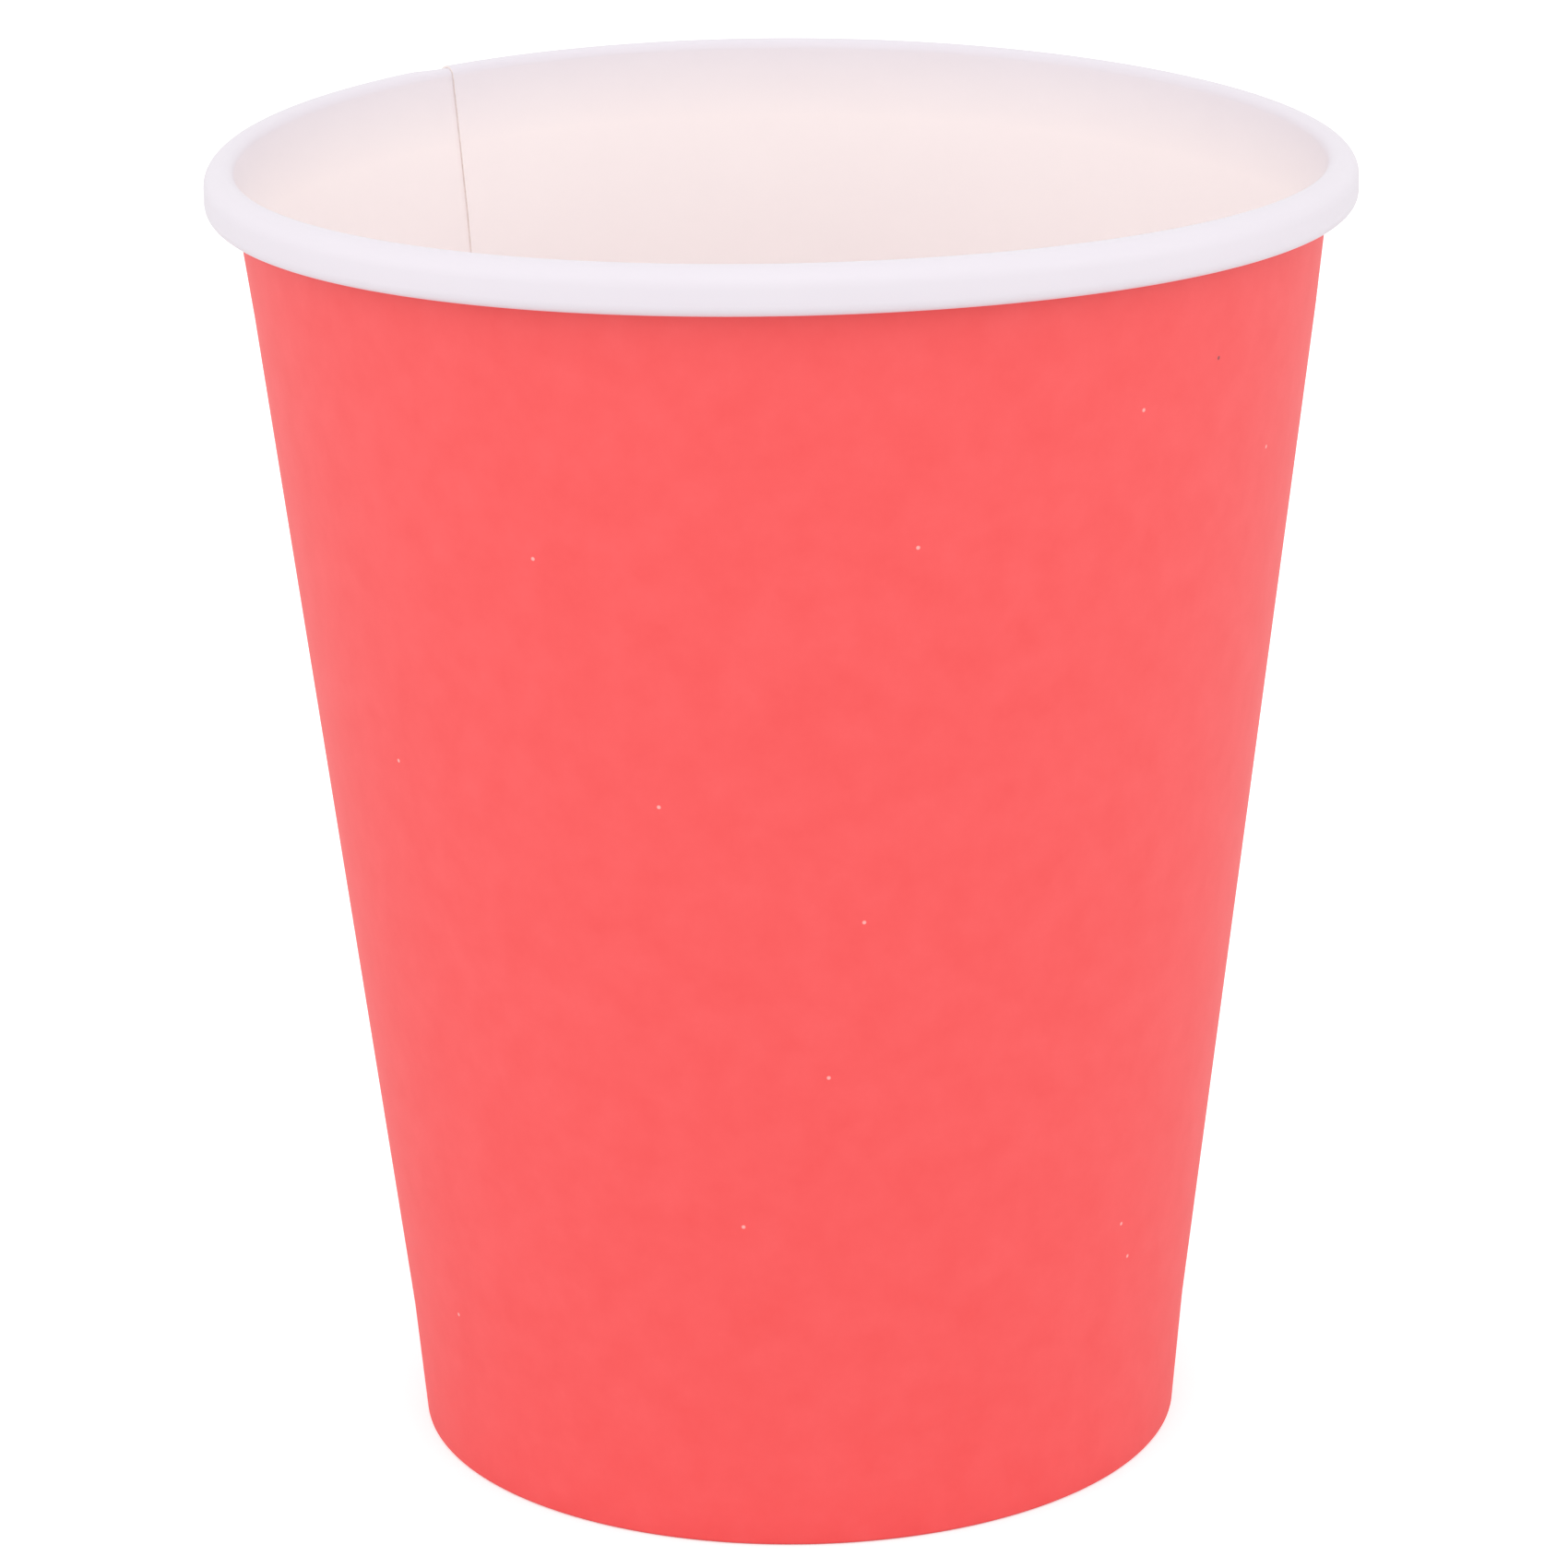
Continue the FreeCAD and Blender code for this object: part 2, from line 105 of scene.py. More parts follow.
def run(start, end, normal, count):
    """Straight stretch of a section: points in equal steps from start to end, one normal."""
    share = np.linspace(0, 1, count)[:, None]
    points = np.array(start) * (1 - share) + np.array(end) * share
    return points, np.tile(normal, (count, 1))


def bend(centre, radius, first, last, inward, count):
    """Bend of a section: centre plus radius times the cosine and sine of an angle that runs in
    equal steps from first to last. The normal points to the centre where inward is true."""
    angle = np.linspace(first, last, count)
    spoke = np.stack([np.cos(angle), np.sin(angle)], axis=1)
    return np.array(centre) + radius * spoke, -spoke if inward else spoke


def lean_of(start, end):
    """Normal and upward direction of a straight face between two points of the section."""
    upward = (np.array(end) - np.array(start)) / math.dist(start, end)
    return np.array([upward[1], -upward[0]]), upward


def rim_wave(azimuth):
    """Height of the rim above its mean: a once-round and a twice-round wave of the azimuth."""
    return (RIM_LEAN * np.sin(azimuth) - RIM_TILT * np.cos(azimuth)
            - RIM_SADDLE * np.cos(2 * azimuth) - RIM_TWIST * np.sin(2 * azimuth))


rim_height = rim_top - rim_wave(np.linspace(0, 2 * math.pi, WAVE_STATIONS)).max()


def wall_lean():
    """Angle from the vertical of the wall, which is the tangent from the knee to the roll."""
    reach = np.array([rim_radius - CROWN_RADIUS, rim_height - ROLL_RADIUS]) - KNEE
    return math.atan2(*reach) - math.asin((ROLL_RADIUS - BOARD) / math.hypot(*reach))


def sheet_section():
    """White face of the board, from the hem's top edge round the foot and up to the tucked edge.

    Each stretch leaves the last one in its own direction, and its last number is its count of
    points. It is a straight run or an arc, and at the knee a quadratic curve pulled towards the
    corner of the two faces. The wall is the tangent from the knee to the roll. Returns the
    points, as radius and height, and the normals, which point from white to printed face.
    """
    crown = np.array([rim_radius - CROWN_RADIUS, rim_height])
    roll_centre = crown - (0, ROLL_RADIUS)
    lean = wall_lean()
    wall_normal = np.array([math.cos(lean), -math.sin(lean)])
    wall_up = np.array([math.sin(lean), math.cos(lean)])
    foot_normal, foot_up = lean_of((FOOT_RADIUS, 0), KNEE)
    foot_lean = math.atan2(foot_up[0], foot_up[1])

    fold_depth = BOARD + FOLD_BEND
    fold_out = np.array([FOOT_RADIUS, 0]) + foot_up * fold_depth / foot_up[1]
    fold_out -= (fold_depth / foot_normal[0], 0)
    band_foot = fold_out + foot_normal * FOLD_BEND
    fold_in = fold_out - (SKIRT_ROOM / foot_normal[0] - 2 * FOLD_BEND, 0)
    hem_foot = fold_in - foot_normal * FOLD_BEND
    hem_head = hem_foot + foot_up * (HEM_HEIGHT - hem_foot[1]) / foot_up[1]
    floor_in = fold_in - (0, FOLD_BEND)
    floor_out = fold_out - (0, FOLD_BEND)

    bisector = wall_normal + foot_normal
    knee = KNEE - bisector * BOARD / (1 + wall_normal @ foot_normal)
    below_knee = knee - foot_up * KNEE_BEND
    above_knee = knee + wall_up * KNEE_BEND
    share = np.linspace(0, 1, 7)[:, None]
    knee_points = (below_knee * (1 - share) ** 2 + knee * 2 * share * (1 - share)
                   + above_knee * share ** 2)
    knee_normals = foot_normal * (1 - share) + wall_normal * share

    wall_head = roll_centre - wall_normal * ROLL_RADIUS
    turn_height = rim_height - TURN_DROP
    wall_there = above_knee[0] + (turn_height - above_knee[1]) * wall_up[0] / wall_up[1]
    room = (rim_radius - wall_there) * wall_normal[0]
    turn_radius = (room - TUCK_ROOM) / (1 + wall_normal[0])
    turn_centre = np.array([rim_radius - turn_radius, turn_height])
    tuck_foot = turn_centre - wall_normal * turn_radius
    wall_angle = math.pi - lean
    stretches = [
        run(hem_head, hem_foot, -foot_normal, HEM_POINTS),
        bend(fold_in, FOLD_BEND, math.pi - foot_lean, 1.5 * math.pi, False, 5),
        run(floor_in, floor_out, (0, -1), 2),
        bend(fold_out, FOLD_BEND, -0.5 * math.pi, -foot_lean, False, 5),
        run(band_foot, below_knee, foot_normal, 5),
        (knee_points, knee_normals),
        run(above_knee, wall_head, wall_normal, 18),
        bend(roll_centre, ROLL_RADIUS, wall_angle, 0.5 * math.pi, True, 10),
        bend(crown - (0, CROWN_RADIUS), CROWN_RADIUS, 0.5 * math.pi, 0, True, 9),
        run((rim_radius, rim_height - CROWN_RADIUS), (rim_radius, turn_height), (-1, 0), 2),
        bend(turn_centre, turn_radius, 0, wall_angle - 2 * math.pi, True, 14),
        run(tuck_foot, tuck_foot + wall_up * TUCK_LENGTH, wall_normal, 3),
    ]
    points = np.vstack([stretch[0] for stretch in stretches])
    normals = np.vstack([stretch[1] for stretch in stretches])
    fresh = np.r_[True, np.linalg.norm(np.diff(points, axis=0), axis=1) > SAME_POINT]
    points, normals = points[fresh], normals[fresh]
    return points, normals / np.linalg.norm(normals, axis=1)[:, None]


def settled(radius, height, azimuth):
    """Points of the cup as it really stands, in metres, from radius, height and azimuth.

    The rim's wave grows from nothing at the knee to its full height below the roll. The wall is
    shifted sideways by one amount and the roll by another, with a smooth change below the roll.
    """
    roll_foot = rim_height - TURN_DROP - KNEE[1]
    along = smooth((height - KNEE[1]) / roll_foot)
    near_roll = smooth((height - KNEE[1] - roll_foot + SHIFT_LENGTH) / SHIFT_LENGTH)
    x = radius * np.cos(azimuth) + WALL_SHIFT + (RIM_SHIFT - WALL_SHIFT) * near_roll
    y = radius * np.sin(azimuth)
    z = height + rim_wave(azimuth) * along
    return np.stack([x, y, z], axis=-1) * MM


def lap_stations():
    """Angles along the blank, from its inner cut edge round the cup to its outer cut edge.

    They are measured from the seam's middle at the middle of the wall. The steps are under half
    a millimetre about the lap, and under a degree elsewhere.
    """
    middle = (rim_radius + FOOT_RADIUS) / 2
    edge = math.asin(HALF_LAP / middle)
    past_step = math.asin((HALF_LAP + LAP_RELIEF + STEP_WIDTH + LAP_FADE) / middle)
    full = 2 * math.pi
    inner_count, round_count, outer_count = LAP_STATIONS
    inner_lap = np.linspace(edge, -past_step, inner_count)
    round_cup = np.linspace(-past_step, past_step - full, round_count)
    outer_lap = np.linspace(past_step, -edge, outer_count) - full
    return np.r_[inner_lap, round_cup[1:-1], outer_lap], edge


def sheet_faces():
    """White and printed face of the wrapped board, as two grids of stations by section points.

    A point is the section's point moved along its normal by the layer's offset, and turned to
    the station's angle. The offset is 0, and the inner layer's thickness with its film where the
    sheet lies over it, with a smooth step between. The hem's flutes add a cosine wave of the
    azimuth. In the lap the fold is lifted by one board and its film, so that the outer layer
    stays above the floor. In the roll both layers are pressed thinner, and so is the inner cut
    edge all the way up. Cut edges lie in planes beside the seam's middle, so their angle is the
    arcsine of half the lap over the radius.
    """
    points, normals = sheet_section()
    stations, edge = lap_stations()
    radius, height = points[:, 0], points[:, 1]
    near_end = np.where(stations > -math.pi, stations, stations + 2 * math.pi)[:, None]
    outer = (stations <= -math.pi)[:, None]
    fade_start, fade_end = np.radians(TURN_FADE)
    fade = 1 - smooth((np.abs(near_end) - fade_start) / (fade_end - fade_start))
    plane_turn = np.arcsin(HALF_LAP / radius) - edge
    turn = near_end + np.clip(near_end / edge, -1, 1) * fade * plane_turn

    across = np.where(np.abs(turn) < math.pi / 2, radius * np.sin(turn), np.sign(turn) * radius)
    step = 1 - smooth((across - HALF_LAP - LAP_RELIEF) / STEP_WIDTH)
    beside = 1 - smooth((np.abs(across) - HALF_LAP - LAP_RELIEF) / (STEP_WIDTH + LAP_FADE))
    place = np.arange(len(radius))
    rolled = smooth((place - np.argmax(height > rim_height - PRESS_START)) / PRESS_POINTS)
    pressed = rolled * beside
    skived = 1 - smooth((HALF_LAP - across) / SKIVE_WIDTH)
    inner = BOARD * (1 - LAP_PRESS * np.maximum(pressed, skived))
    thickness = np.where(outer, BOARD * (1 - LAP_PRESS * pressed), inner)
    offset = np.where(outer, (inner + LAYER_GAP) * step, 0)
    fold_share = 1 - smooth((height - BOARD) / LIFT_LENGTH)
    lift = (BOARD + LAYER_GAP) * beside * fold_share

    azimuth = math.radians(SEAM_AZIMUTH) + turn
    fluted = smooth((height - FLUTE_START) / FLUTE_FADE) * (place < HEM_POINTS)
    fluted *= smooth((HEM_HEIGHT - FLUTE_TOP - height) / FLUTE_FADE)
    flutes = FLUTE_DEPTH * fluted * (0.5 - 0.5 * np.cos(FLUTE_COUNT * azimuth))

    faces = []
    for depth in (offset + flutes, offset + flutes + thickness):
        faces.append(settled(radius + normals[:, 0] * depth,
                             height + normals[:, 1] * depth + lift, azimuth))
    # Painted glow: a mask over the white face inside the cup, below the rim's top, where it is
    # painted warmer and brighter in place of light through the board.
    painted_glow = smooth((rim_height - PAINTED_GLOW_START - height) / PAINTED_GLOW_LENGTH) * (place < np.argmax(height))
    return faces, np.broadcast_to(painted_glow, azimuth.shape)


def new_piece(name, points, polygons, slots, materials, attributes=()):
    """Object of a closed mesh. Its faces are smooth, and hard only along sharp edges."""
    mesh = bpy.data.meshes.new(name)
    mesh.from_pydata(points, [], polygons)
    for material in materials:
        mesh.materials.append(material)
    mesh.polygons.foreach_set("material_index", slots)
    mesh.polygons.foreach_set("use_smooth", np.ones(len(slots), bool))
    for label, values in dict(attributes).items():
        layer = mesh.attributes.new(label, "FLOAT", "POINT")
        layer.data.foreach_set("value", values)
    mesh.validate()
    mesh.set_sharp_from_angle(angle=math.radians(SHARP_ANGLE))
    piece = bpy.data.objects.new(name, mesh)
    bpy.context.scene.collection.objects.link(piece)
    return piece


def closed_sheet(name, faces, attributes, materials):
    """Mesh of a sheet from its two faces, each a grid of points, with strips along all four
    edges. Its surfaces take the materials in the order front, back and edge."""
    count, length = faces[0].shape[:2]
    front = np.arange(count * length).reshape(count, length)
    back = front + count * length
    quads = [
        np.stack([front[:-1, :-1], front[1:, :-1], front[1:, 1:], front[:-1, 1:]], axis=-1),
        np.stack([back[:-1, 1:], back[1:, 1:], back[1:, :-1], back[:-1, :-1]], axis=-1),
        np.stack([front[1:, 0], front[:-1, 0], back[:-1, 0], back[1:, 0]], axis=-1),
        np.stack([front[:-1, -1], front[1:, -1], back[1:, -1], back[:-1, -1]], axis=-1),
        np.stack([front[0, :-1], front[0, 1:], back[0, 1:], back[0, :-1]], axis=-1),
        np.stack([front[-1, 1:], front[-1, :-1], back[-1, :-1], back[-1, 1:]], axis=-1),
    ]
    quads = [quad.reshape(-1, 4) for quad in quads]
    slots = np.repeat([0, 1, 2, 2, 2, 2], [len(quad) for quad in quads]).astype(np.int32)
    points = np.vstack([face.reshape(-1, 3) for face in faces])
    attributes = {label: np.tile(values.ravel(), 2).astype(np.float32)
                  for label, values in attributes.items()}
    return new_piece(name, points, np.vstack(quads), slots, materials, attributes)


def new_material(name, **sockets):
    """Material with a node tree and its shader's sockets set, returned with both."""
    material = bpy.data.materials.new(name)
    material.use_nodes = True
    shader = material.node_tree.nodes["Principled BSDF"]
    for socket, value in sockets.items():
        shader.inputs[socket.replace("_", " ")].default_value = value
    return material, material.node_tree, shader


def add_node(tree, kind, inputs=(), **settings):
    """Node of a tree with its settings, and its inputs given as values or as sockets to link."""
    node = tree.nodes.new("ShaderNode" + kind)
    for setting, value in settings.items():
        setattr(node, setting, value)
    for place, value in dict(inputs).items():
        if isinstance(value, bpy.types.NodeSocket):
            tree.links.new(value, node.inputs[place])
        else:
            node.inputs[place].default_value = value
    return node


def noise(tree, scale, detail=2.0, roughness=0.5):
    """Cloudy pattern of the given number of waves to the metre, on the object's own place."""
    place = add_node(tree, "TexCoord").outputs["Object"]
    inputs = {"Vector": place, "Scale": scale, "Detail": detail, "Roughness": roughness}
    return add_node(tree, "TexNoise", inputs).outputs["Fac"]


def ramp(tree, source, low_end, high_end, low_value=0.0, high_value=1.0):
    """Value that goes in a straight line between two ends of its source, and stays beyond."""
    inputs = {"Value": source, "From Min": low_end, "From Max": high_end,
              "To Min": low_value, "To Max": high_value}
    return add_node(tree, "MapRange", inputs).outputs["Result"]


def tint(tree, share, below, above, blend="MIX"):
    """Colour between two others by a share, each a colour or a socket."""
    inputs = {0: share, 6: below, 7: above}
    return add_node(tree, "Mix", inputs, data_type="RGBA", blend_type=blend).outputs[2]


def grain(tree, shader, patterns):
    """Small relief on a shader from cloudy patterns, each given by its scale and its height."""
    normal = None
    for scale, height in patterns:
        inputs = {"Height": noise(tree, scale), "Strength": 1.0, "Distance": height * MM}
        if normal:
            inputs["Normal"] = normal
        normal = add_node(tree, "Bump", inputs).outputs["Normal"]
    tree.links.new(normal, shader.inputs["Normal"])


CORAL = (0.892, 0.079, 0.080, 1)
CORAL_DEEP = (0.876, 0.071, 0.072, 1)
CORAL_PALE = (0.904, 0.088, 0.091, 1)
PALE_SPECK = (0.93, 0.40, 0.38, 1)
DARK_SPECK = (0.30, 0.05, 0.06, 1)
PALE_SPECKS = [(-118.0, 72.5), (-76.5, 73.6), (-105.2, 55.6), (-142.4, 55.6), (-50.5, 81.1),
               (-26.0, 75.6), (-86.0, 36.0), (-81.8, 47.3), (-147.3, 12.8), (-40.1, 20.4),
               (-37.7, 17.5), (-97.1, 24.8)]
DARK_SPECKS = [(-39.4, 83.5)]
SPECK_SIZE = 0.17
PRINT_GRAIN = [(520, 0.012), (3200, 0.004)]


def specks(tree, places, colour):
    """Colour with tiny spots laid over it, each a distance from a place on the printed wall."""
    where = add_node(tree, "TexCoord").outputs["Object"]
    for (azimuth, height), spot in places:
        radius = KNEE[0] + (height - KNEE[1]) * math.tan(wall_lean())
        centre = settled(np.array(radius), np.array(height), np.radians(azimuth))
        inputs = {0: where, 1: tuple(centre)}
        distance = add_node(tree, "VectorMath", inputs, operation="DISTANCE").outputs["Value"]
        share = ramp(tree, distance, SPECK_SIZE * 0.5 * MM, SPECK_SIZE * MM, 1.0, 0.0)
        colour = tint(tree, share, colour, spot)
    return colour


def coral_print():
    """Matte coral ink on board: it clouds a little, fibres show through, and a few specks sit
    where dust kept the ink off."""
    material, tree, shader = new_material("coral_print", Roughness=0.55)
    shader.inputs["Specular IOR Level"].default_value = 0.62
    cloud = ramp(tree, noise(tree, 330, 3.0, 0.6), 0.3, 0.7)
    colour = tint(tree, cloud, CORAL_DEEP, CORAL_PALE)
    fibre = ramp(tree, noise(tree, 2600, 2.0, 0.6), 0.35, 0.65, 0.0, 0.35)
    colour = tint(tree, fibre, colour, CORAL)
    places = [(place, PALE_SPECK) for place in PALE_SPECKS]
    places += [(place, DARK_SPECK) for place in DARK_SPECKS]
    tree.links.new(specks(tree, places, colour), shader.inputs["Base Color"])
    grain(tree, shader, PRINT_GRAIN)
    return material


ROLL_WHITE = (0.760, 0.714, 0.769, 1)
# Painted glow: the white face inside the cup is painted warmer and brighter than the rim's white,
# in place of the coral light that comes through the board and bounces inside.
PAINTED_GLOW_WHITE = (0.985, 0.900, 0.895, 1)
CLOUD_WHITE = (0.985, 0.98, 0.985, 1)
BOARD_GRAIN = [(420, 0.010), (2400, 0.003)]
PULP_DARK = (0.84, 0.74, 0.70, 1)
PULP_PALE = (0.93, 0.86, 0.83, 1)
EDGE_GRAIN = [(6400, 0.020)]


def coated_board_and_painted_glow():
    """White board with a thin water-proof coat: satin and cool white on the rim. Inside the cup the
    white face is painted warmer and brighter, a painted glow that stands in for the coral light
    coming through the board and bouncing inside."""
    material, tree, shader = new_material("coated_board_and_painted_glow", Roughness=0.40)
    shader.inputs["Specular IOR Level"].default_value = 0.4
    # Painted glow mask: where it is one, the white face takes the painted warmer, brighter white.
    painted_glow = add_node(tree, "Attribute", attribute_name="painted_glow").outputs["Fac"]
    colour = tint(tree, painted_glow, ROLL_WHITE, PAINTED_GLOW_WHITE)
    cloud = ramp(tree, noise(tree, 160, 3.0), 0.3, 0.7, 0.0, 0.5)
    colour = tint(tree, cloud, colour, CLOUD_WHITE, "MULTIPLY")
    tree.links.new(colour, shader.inputs["Base Color"])
    grain(tree, shader, BOARD_GRAIN)
    return material


def raw_edge():
    """Cut edge of the board: bare pulp, creamier and rougher than its faces."""
    material, tree, shader = new_material("raw_edge", Roughness=0.8)
    fibre = ramp(tree, noise(tree, 5200, 3.0, 0.7), 0.3, 0.7)
    colour = tint(tree, fibre, PULP_DARK, PULP_PALE)
    tree.links.new(colour, shader.inputs["Base Color"])
    grain(tree, shader, EDGE_GRAIN)
    return material


board_white = coated_board_and_painted_glow()
board_edge = raw_edge()
# The sidewall carries the painted glow's mask on its points.
sheet, painted_glow = sheet_faces()
sidewall = closed_sheet("sidewall_board", sheet, {"painted_glow": painted_glow},
                        (board_white, coral_print(), board_edge))
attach(sidewall, "root")
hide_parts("sidewall")

# Bottom disc. A round blank of the same white board, drawn into a shallow tray. Its skirt
# points down and is caught between the foot band and the hem, sealed by its own coating.

DISC_HEIGHT = 8.0
DISC_BOARD = 0.3
DISC_BEND = 0.3             # inside bend from the disc to its skirt
SKIRT_FOOT = 1.0            # lower edge of the skirt above the floor
FILM = 0.03                 # sealing film on each side of the skirt
DISC_SAG = 0.12             # the disc's middle lies a little lower than its edge
DISC_STATIONS = 240
DISC_HOLE = 0.02            # innermost ring of points, closed by a fan
DISC_WHITE = (0.855, 0.80, 0.795, 1)
DISC_PALE = (0.885, 0.835, 0.83, 1)


def disc_faces():
    """Top and underside of the drawn disc, as two grids of stations by section points.

    The section runs from the centre straight out, round a quarter bend and down the skirt. The
    top lies a board's thickness outside the underside, and the middle sags by a cosine bell.
    """
    normal, upward = lean_of((FOOT_RADIUS, 0), KNEE)
    lean = math.atan2(upward[0], upward[1])
    outer_bend = DISC_BEND + DISC_BOARD
    bend_height = DISC_HEIGHT - outer_bend
    face = np.array([FOOT_RADIUS, 0]) - normal * (BOARD + FILM)
    bend_face = face + upward * (bend_height - face[1]) / upward[1]
    centre = bend_face - (outer_bend / normal[0], 0)
    foot = face + upward * (SKIRT_FOOT - face[1]) / upward[1]
    azimuth = np.linspace(0, 2 * math.pi, DISC_STATIONS + 1)[:, None]
    faces = []
    for radius, inset in ((outer_bend, 0), (DISC_BEND, DISC_BOARD)):
        top = DISC_HEIGHT - inset
        flat, _ = run((DISC_HOLE, top), (centre[0], top), (0, 1), 22)
        drawn, _ = bend(centre, radius, 0.5 * math.pi, -lean, False, 8)
        skirt, _ = run(drawn[-1], foot - normal * inset, normal, 10)
        points = np.vstack([flat[:-1], drawn, skirt[1:]])
        across, height = points[:, 0], points[:, 1]
        sag = DISC_SAG * (0.5 + 0.5 * np.cos(math.pi * np.clip(across / centre[0], 0, 1)))
        sag *= height > bend_height
        faces.append(settled(across + 0 * azimuth, height - sag + 0 * azimuth, azimuth))
    return faces


def closed_tray(name, faces, materials):
    """Mesh of a round tray from its two faces. The last station joins the first, the innermost
    rings close on the centre, and a strip joins the faces along the skirt's edge. Its surfaces
    take the first material, and the strip the second."""
    count, length = faces[0].shape[0] - 1, faces[0].shape[1]
    rows = [face[:-1].reshape(-1, 3) for face in faces]
    centres = [face[:-1, 0].mean(axis=0)[None] for face in faces]
    here = np.arange(count)
    after = (here + 1) % count
    grid = np.arange(count * length).reshape(count, length)
    under = grid + count * length
    top_centre = 2 * count * length
    quads = [
        np.stack([grid[here, :-1], grid[here, 1:], grid[after, 1:], grid[after, :-1]], axis=-1),
        np.stack([under[after, :-1], under[after, 1:], under[here, 1:], under[here, :-1]], axis=-1),
        np.stack([grid[here, -1], under[here, -1], under[after, -1], grid[after, -1]], axis=-1),
    ]
    quads = [quad.reshape(-1, 4) for quad in quads]
    fans = [
        np.stack([grid[here, 0], grid[after, 0], np.full(count, top_centre)], axis=-1),
        np.stack([under[after, 0], under[here, 0], np.full(count, top_centre + 1)], axis=-1),
    ]
    polygons = np.vstack(quads).tolist() + np.vstack(fans).tolist()
    parts = [len(part) for part in quads + fans]
    slots = np.repeat([0, 0, 1, 0, 0], parts).astype(np.int32)
    return new_piece(name, np.vstack(rows + centres), polygons, slots, materials)


def disc_board():
    """The same coated board, plain white on both sides, and faintly clouded."""
    material, tree, shader = new_material("disc_board", Roughness=0.42)
    shader.inputs["Specular IOR Level"].default_value = 0.4
    cloud = ramp(tree, noise(tree, 160, 3.0), 0.3, 0.7)
    colour = tint(tree, cloud, DISC_WHITE, DISC_PALE)
    tree.links.new(colour, shader.inputs["Base Color"])
    grain(tree, shader, BOARD_GRAIN)
    return material


bottom_disc = closed_tray("bottom_disc_board", disc_faces(), (disc_board(), board_edge))
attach(bottom_disc, "root")
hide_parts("bottom_disc")

# Floor and light. A plain white floor in an even white surround that is a little brighter
# at the sides than above, with a soft box at each side and one high in front. The camera sees
# floor and surround as plain white, but for the cup's own shadow.

FLOOR_SIZE = 6.0            # metres, as the two sizes of the boxes
FLOOR_WHITE = (0.88, 0.88, 0.88, 1)
FLOOR_SHADE = (0.805, 0.805, 0.805, 1)
FLOOR_GLOW = 0.40           # added for the camera alone, so that the open floor is white
SURROUND_LEVEL = 1.02       # light of the surround on the cup, at the horizon
SURROUND_ABOVE = 0.97       # and from straight above
BOX_WIDTH = 0.8
BOX_DISTANCE = 0.9
LEFT_BOX = (-72, 20, 1.1)   # degrees from the camera's side and above the floor, and power
RIGHT_BOX = (72, 20, 1.0)
HIGH_BOX = (0, 48, 1.2)


def floor_material():
    """White floor, clouded a little, with a plain glow added to it where the camera sees it."""
    material, tree, shader = new_material("floor_white", Roughness=0.9)
    shader.inputs["Specular IOR Level"].default_value = 0.0
    cloud = ramp(tree, noise(tree, 3), 0.3, 0.7)
    colour = tint(tree, cloud, FLOOR_WHITE, FLOOR_SHADE)
    tree.links.new(colour, shader.inputs["Base Color"])
    seen = add_node(tree, "LightPath").outputs["Is Camera Ray"]
    shader.inputs["Emission Color"].default_value = (1, 1, 1, 1)
    tree.links.new(ramp(tree, seen, 0, 1, 0, FLOOR_GLOW), shader.inputs["Emission Strength"])
    return material


def lit_surround():
    """White world, of strength 1 for the camera and for reflections. As light on the cup its
    strength goes from one level at the horizon to another straight above, by the sine of the
    height."""
    world = bpy.data.worlds.new("surround")
    world.use_nodes = True
    bpy.context.scene.world = world
    tree = world.node_tree
    background = tree.nodes["Background"]
    background.inputs["Color"].default_value = (1, 1, 1, 1)
    path = add_node(tree, "LightPath")
    seen = add_node(tree, "Math", {0: path.outputs["Is Camera Ray"],
                                   1: path.outputs["Is Glossy Ray"]}, operation="MAXIMUM")
    seen = add_node(tree, "Math", {0: seen.outputs[0],
                                   1: path.outputs["Is Transmission Ray"]}, operation="MAXIMUM")
    direction = add_node(tree, "TexCoord").outputs["Generated"]
    above = add_node(tree, "SeparateXYZ", {0: direction}).outputs["Z"]
    level = ramp(tree, above, 0, 1, SURROUND_LEVEL, SURROUND_ABOVE)
    strength = ramp(tree, seen.outputs[0], 0, 1, level, 1.0)
    tree.links.new(strength, background.inputs["Strength"])


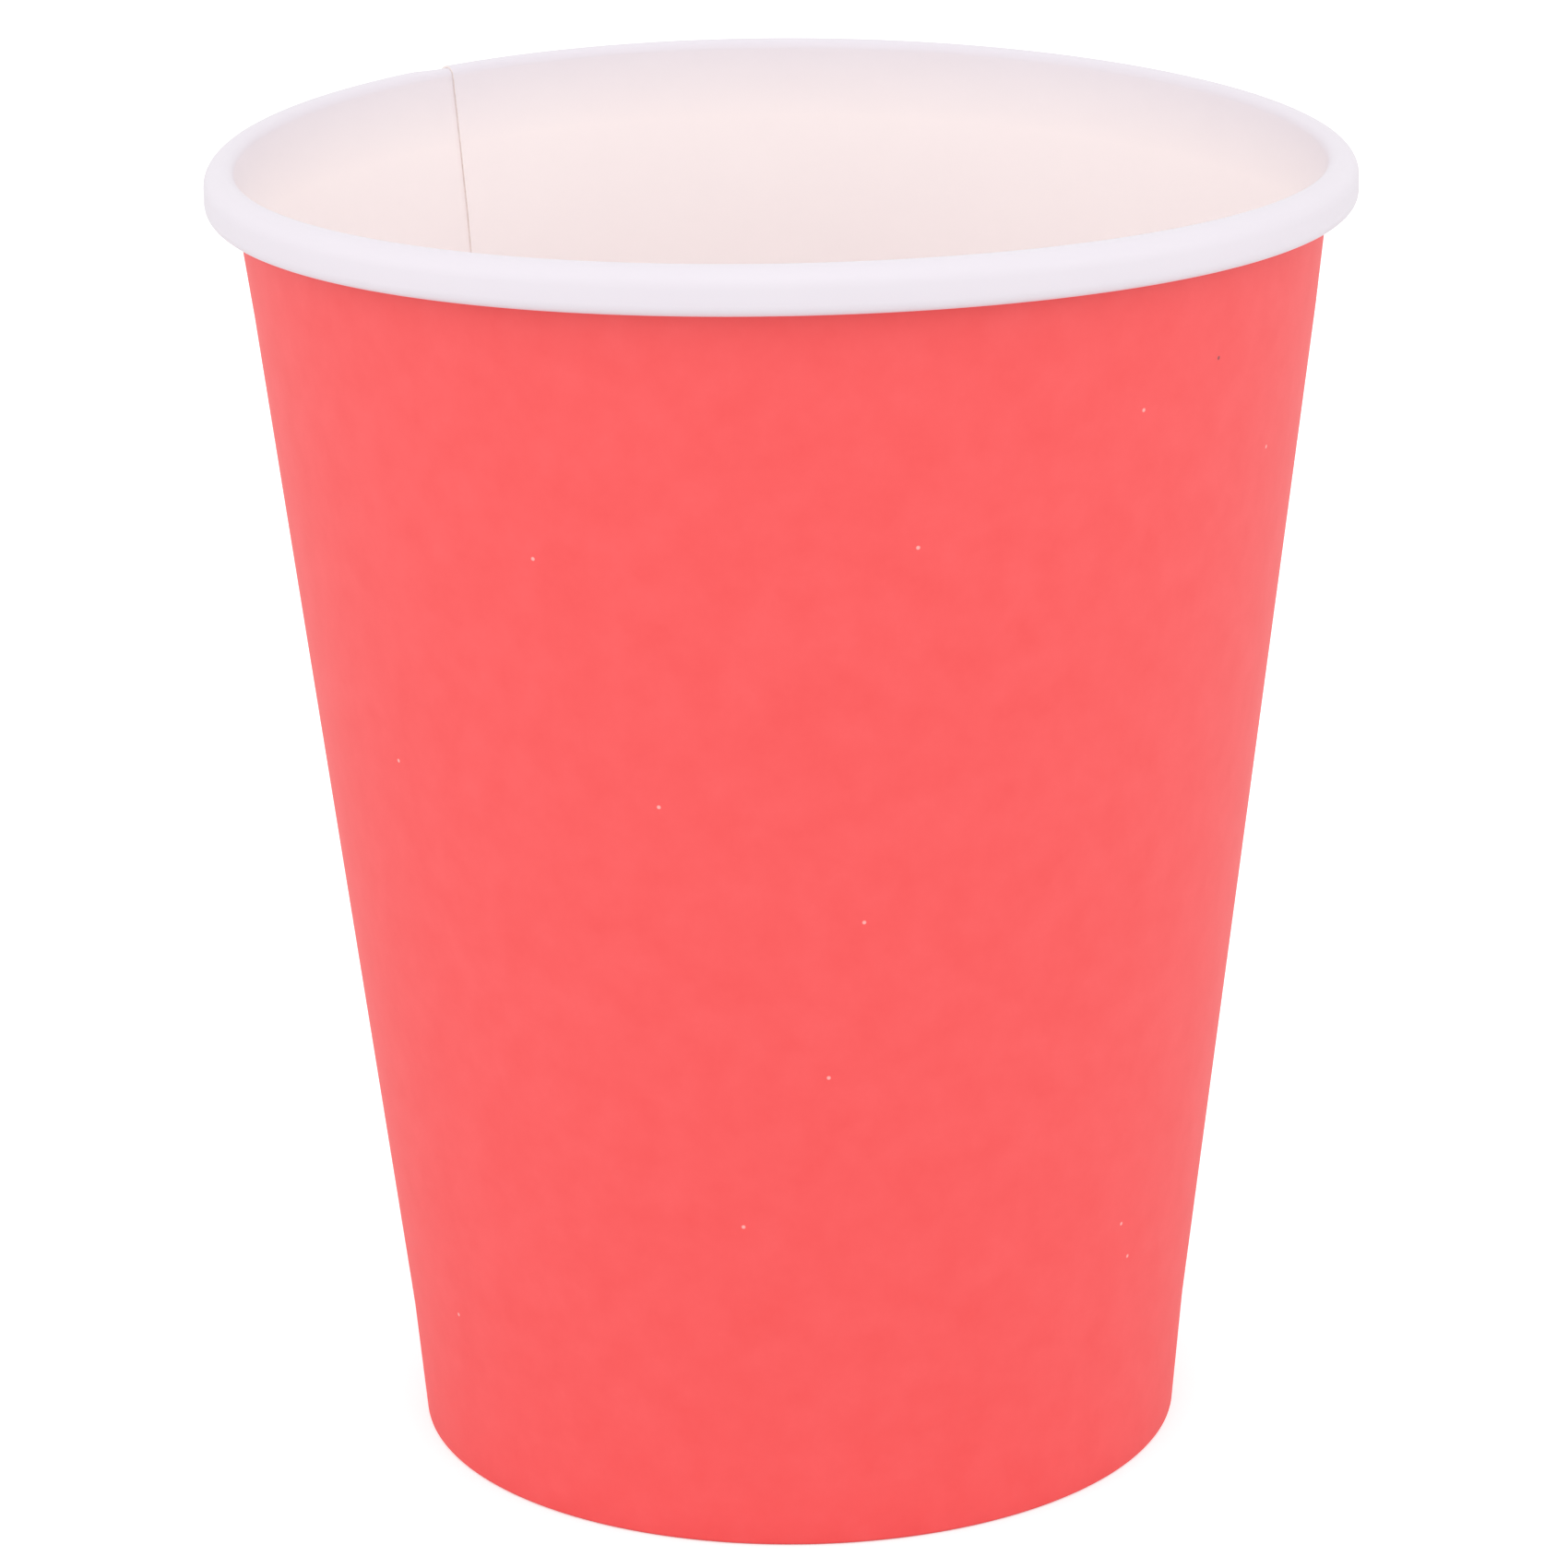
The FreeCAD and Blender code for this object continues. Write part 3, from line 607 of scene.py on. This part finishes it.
def soft_box(name, side, lift, power):
    """Square area light about the camera, aimed at the middle of the cup."""
    lamp = bpy.data.lights.new(name, "AREA")
    lamp.size = BOX_WIDTH
    lamp.energy = power
    light = bpy.data.objects.new(name, lamp)
    side, lift = math.radians(side), math.radians(lift)
    away = Vector((math.sin(side), -math.cos(side), math.tan(lift)))
    light.location = away.normalized() * BOX_DISTANCE
    aim = Vector((0, 0, rim_height * MM / 2)) - light.location
    light.rotation_euler = aim.to_track_quat("-Z", "Y").to_euler()
    bpy.context.scene.collection.objects.link(light)


half = FLOOR_SIZE / 2
floor_mesh = bpy.data.meshes.new("floor")
floor_mesh.from_pydata([(-half, -half, 0), (half, -half, 0), (half, half, 0), (-half, half, 0)],
                       [], [(0, 1, 2, 3)])
floor_mesh.materials.append(floor_material())
floor = bpy.data.objects.new("floor", floor_mesh)
bpy.context.scene.collection.objects.link(floor)
lit_surround()
soft_box("left_box", *LEFT_BOX)
soft_box("right_box", *RIGHT_BOX)
soft_box("high_box", *HIGH_BOX)

# Camera. It stands in front of the cup and looks down on it by seventeen and a half degrees,
# as the photograph's did, with a long lens and a slight roll.

CAMERA_PLACE = (-0.000324, -0.417307, 0.1784)   # metres
CAMERA_PITCH = 17.481       # degrees that it looks down
CAMERA_ROLL = -0.801        # degrees that it leans
FOCAL_PIXELS = 6627.97      # focal length in pixels of the square photograph
PHOTO_WIDTH = 1700
SENSOR = 36.0               # width of the film, in millimetres

pitch, roll = math.radians(CAMERA_PITCH), math.radians(CAMERA_ROLL)
ahead = Vector((0, math.cos(pitch), -math.sin(pitch)))
upright = Vector((0, math.sin(pitch), math.cos(pitch)))
sideways = Vector((1, 0, 0))
camera_x = sideways * math.cos(roll) + upright * math.sin(roll)
camera_y = upright * math.cos(roll) - sideways * math.sin(roll)
camera_data = bpy.data.cameras.new("camera")
camera_data.sensor_width = SENSOR
camera_data.lens = SENSOR * FOCAL_PIXELS / PHOTO_WIDTH
camera_data.clip_start = 0.01
camera_data.clip_end = 20
camera = bpy.data.objects.new("camera", camera_data)
axes = Matrix((camera_x, camera_y, -ahead)).transposed().to_4x4()
camera.matrix_world = Matrix.Translation(CAMERA_PLACE) @ axes
bpy.context.scene.collection.objects.link(camera)
bpy.context.scene.camera = camera
bpy.context.scene.view_settings.view_transform = "Standard"
